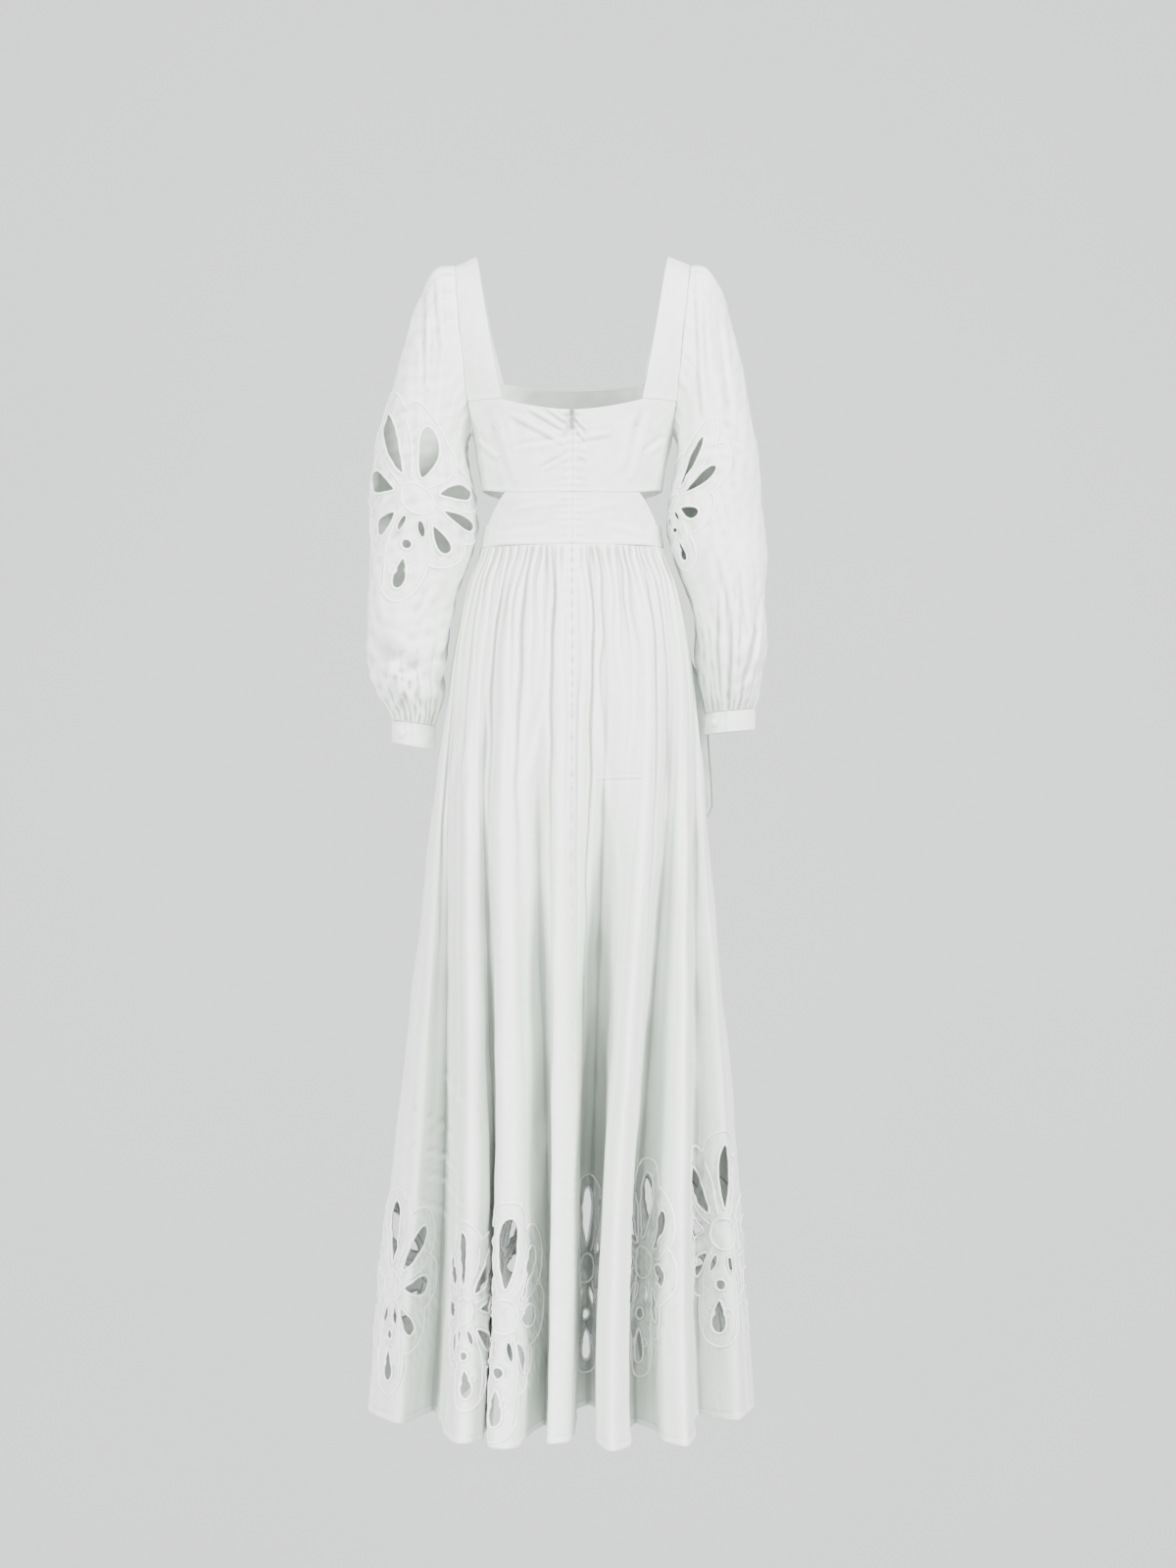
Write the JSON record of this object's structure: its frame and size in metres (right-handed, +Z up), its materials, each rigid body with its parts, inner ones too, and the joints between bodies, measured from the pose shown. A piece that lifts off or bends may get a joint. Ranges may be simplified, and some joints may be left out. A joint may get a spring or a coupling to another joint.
{
  "type": "long-sleeved maxi dress with cutwork flowers",
  "caption": "Ankle-length white cotton dress with square neck, balloon sleeves, side cut-outs, gathered slit skirt and cutwork flowers, in worn form.",
  "frame": {"origin": "midway between the tops of the two shoulder straps, where the wearer's shoulders hold the dress", "axes": "+Z up, +Y out of the back of the dress, +X to the wearer's left"},
  "size_m": [0.5128, 0.409, 1.4778],
  "materials": {
    "cotton": "crisp matt white cotton poplin with satin-stitched edges",
    "button_cloth": "white cotton stretched over a button mould",
    "zip_tape": "white woven polyester tape",
    "zip_metal": "grey nickel-plated metal"
  },
  "bodies": {
    "dress": {"bodice_back_left": "cotton", "bodice_back_right": "cotton", "bodice_front": "cotton", "strap_back_left": "cotton", "strap_back_right": "cotton", "strap_front_left": "cotton", "strap_front_right": "cotton", "midriff_back_left": "cotton", "midriff_back_right": "cotton", "midriff_front": "cotton", "skirt_back_left": "cotton", "skirt_back_right": "cotton", "skirt_front_left": "cotton", "skirt_front_right": "cotton", "sleeve_left_back": "cotton", "sleeve_left_front": "cotton", "sleeve_right_back": "cotton", "sleeve_right_front": "cotton", "cuff_left": "cotton", "cuff_right": "cotton", "sash_end": "cotton", "cuff_button_left": "button_cloth", "cuff_button_right": "button_cloth", "zip_tape": "zip_tape", "zip_slider": "zip_metal"},
    "pull_tab": {"zip_pull_tab": "zip_metal"}
  },
  "joints": [
    {"name": "pull_tab_swing", "type": "hinge", "parent": "dress", "child": "pull_tab", "pos_m": [0, 0.09161, -0.209], "axis": [1, 0, 0], "range_deg": [0, 150]}
  ]
}
